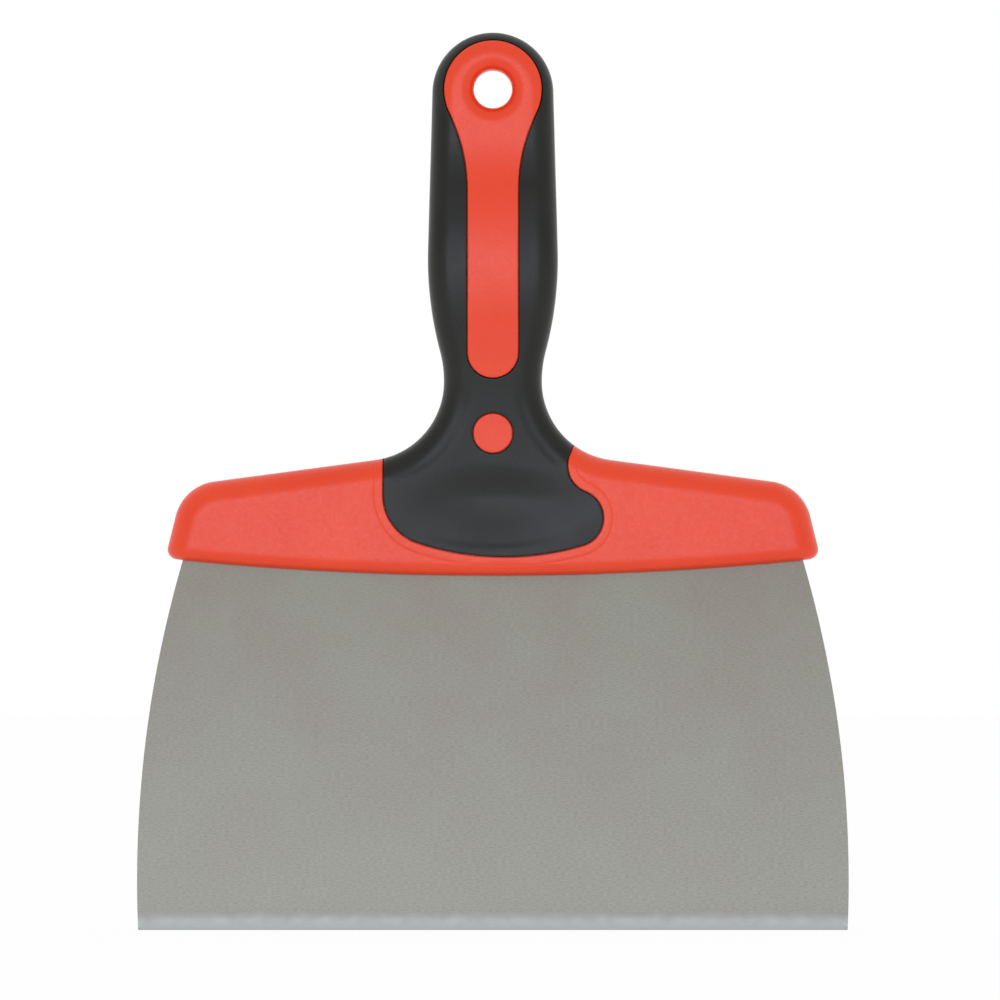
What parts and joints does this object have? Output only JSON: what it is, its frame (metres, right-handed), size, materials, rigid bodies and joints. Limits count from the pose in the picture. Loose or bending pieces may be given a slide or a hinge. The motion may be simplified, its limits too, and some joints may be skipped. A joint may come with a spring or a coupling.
{
  "type": "flexible putty knife",
  "caption": "Wide flexible putty knife: a thin sprung steel blade in a broad guard, with a soft-grip handle and a hang hole, for filling and smoothing walls.",
  "frame": {"origin": "middle of the cutting edge", "axes": "+Z from the cutting edge up along the handle, +X to the right along the blade as seen from the front, +Y from the front to the back through the blade"},
  "size_m": [0.2006, 0.025, 0.2528],
  "materials": {
    "blade_steel": "brushed across the blade, honed along the edge",
    "core_plastic": "satin moulded red",
    "grip_rubber": "fine matt soft-touch black"
  },
  "bodies": {
    "handle": {"core": "core_plastic", "grip": "grip_rubber"},
    "blade": {"blade": "blade_steel"}
  },
  "joints": [
    {"name": "blade_flex", "type": "hinge", "parent": "handle", "child": "blade", "pos_m": [0, 0, 0.0999], "axis": [1, 0, 0], "range_deg": [-30, 30], "stiffness_Nm_per_rad": 12.1, "deforming": ["blade"]}
  ]
}
